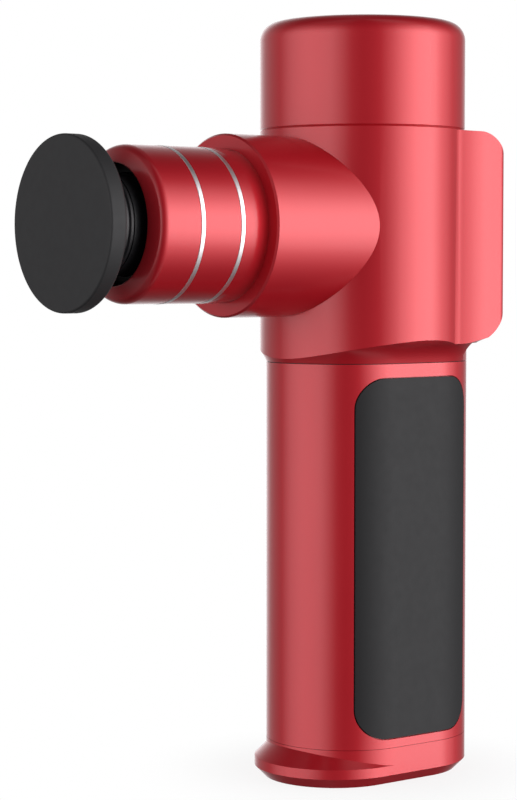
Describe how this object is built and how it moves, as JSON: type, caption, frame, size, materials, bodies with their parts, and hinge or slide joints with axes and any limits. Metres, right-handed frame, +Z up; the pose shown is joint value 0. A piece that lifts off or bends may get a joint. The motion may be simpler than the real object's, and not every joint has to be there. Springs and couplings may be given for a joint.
{
  "type": "massage gun",
  "caption": "Handheld percussion massage gun: upright battery handle, round motor head and a side barrel whose piston drives a flat disc applicator.",
  "frame": {"origin": "on the flat underside of the handle, straight below the axis of the round head", "axes": "+Z up along the handle, -Y the way the applicator points, X across, with X = 0 the middle plane"},
  "size_m": [0.056, 0.1312, 0.2057],
  "materials": {
    "body_red": "satin red anodised",
    "ring_silver": "polished, diamond cut",
    "silicone_black": "matte silicone",
    "pad_black": "matte soft pad",
    "hub_black": "fine matte",
    "piston_black": "black anodised",
    "panel_gloss": "gloss",
    "button_black": "fine matte",
    "light_white": "translucent white",
    "board_green": "solder mask",
    "steel_fastener": "plated",
    "steel_ground": "ground",
    "bush_bronze": "sintered bronze",
    "cell_wrap": "shrink sleeve",
    "holder_black": "moulded",
    "nickel": "nickel strip",
    "stator_steel": "stacked sheets",
    "copper": "enamelled wire",
    "magnet": "nickel plated",
    "cast_alloy": "as cast",
    "bell_grey": "satin",
    "crank_steel": "turned",
    "lead_yellow": "insulation",
    "lead_red": "insulation"
  },
  "bodies": {
    "housing": {"base_screws": "steel_fastener", "battery_cells": "cell_wrap", "battery_leads": "lead_red", "bearing_lower": "steel_ground", "bearing_upper": "steel_ground", "bottom_cap": "body_red", "bulkhead_screws": "steel_fastener", "cell_holder_lower": "holder_black", "cell_holder_upper": "holder_black", "charge_board": "board_green", "charge_port": "steel_fastener", "control_board": "board_green", "control_panel": "panel_gloss", "grip_left": "silicone_black", "grip_right": "silicone_black", "guide_rail": "steel_ground", "handle_shell": "body_red", "head_housing": "body_red", "indicator_lights": "light_white", "motor_leads": "lead_yellow", "motor_mount": "cast_alloy", "neck_screws": "steel_fastener", "nickel_strips": "nickel", "nose_barrel": "body_red", "panel_screws": "steel_fastener", "piston_bush": "bush_bronze", "rail_plate": "cast_alloy", "rail_screws": "steel_fastener", "ring_front": "ring_silver", "ring_rear": "ring_silver", "seam_gasket": "silicone_black", "stator_core": "stator_steel", "stator_windings": "copper", "top_cap": "body_red", "wiper_seal": "silicone_black"},
    "crank": {"motor_bell": "bell_grey", "rotor_magnets": "magnet", "motor_shaft": "steel_ground", "crank_wheel": "crank_steel", "grub_screw": "steel_fastener", "crank_pin": "steel_ground", "pin_bearing": "steel_ground"},
    "piston": {"yoke": "cast_alloy", "piston_tube": "piston_black", "yoke_screws": "steel_fastener"},
    "applicator": {"applicator_disc": "pad_black", "applicator_hub": "hub_black", "stem_rings": "silicone_black"},
    "power_button": {"power_button": "button_black"},
    "speed_button": {"speed_button": "button_black"}
  },
  "joints": [
    {"name": "crank_spin", "type": "hinge", "parent": "housing", "child": "crank", "pos_m": [0, 0, 0.16], "axis": [0, 0, -1], "range_deg": [-90, 90]},
    {"name": "piston_slide", "type": "slide", "parent": "housing", "child": "piston", "axis": [0, -1, 0], "range_m": [-0.004, 0.004]},
    {"name": "applicator_pull", "type": "slide", "parent": "piston", "child": "applicator", "axis": [0, -1, 0], "range_m": [0, 0.03]},
    {"name": "power_press", "type": "slide", "parent": "housing", "child": "power_button", "axis": [0, -1, 0], "range_m": [0, 0.0005], "stiffness_N_per_m": 600},
    {"name": "speed_press", "type": "slide", "parent": "housing", "child": "speed_button", "axis": [0, -1, 0], "range_m": [0, 0.0005], "stiffness_N_per_m": 600}
  ],
  "couplings": [
    {"joint": "piston_slide", "follows": "crank_spin", "m_per_rad": 0.002546}
  ]
}
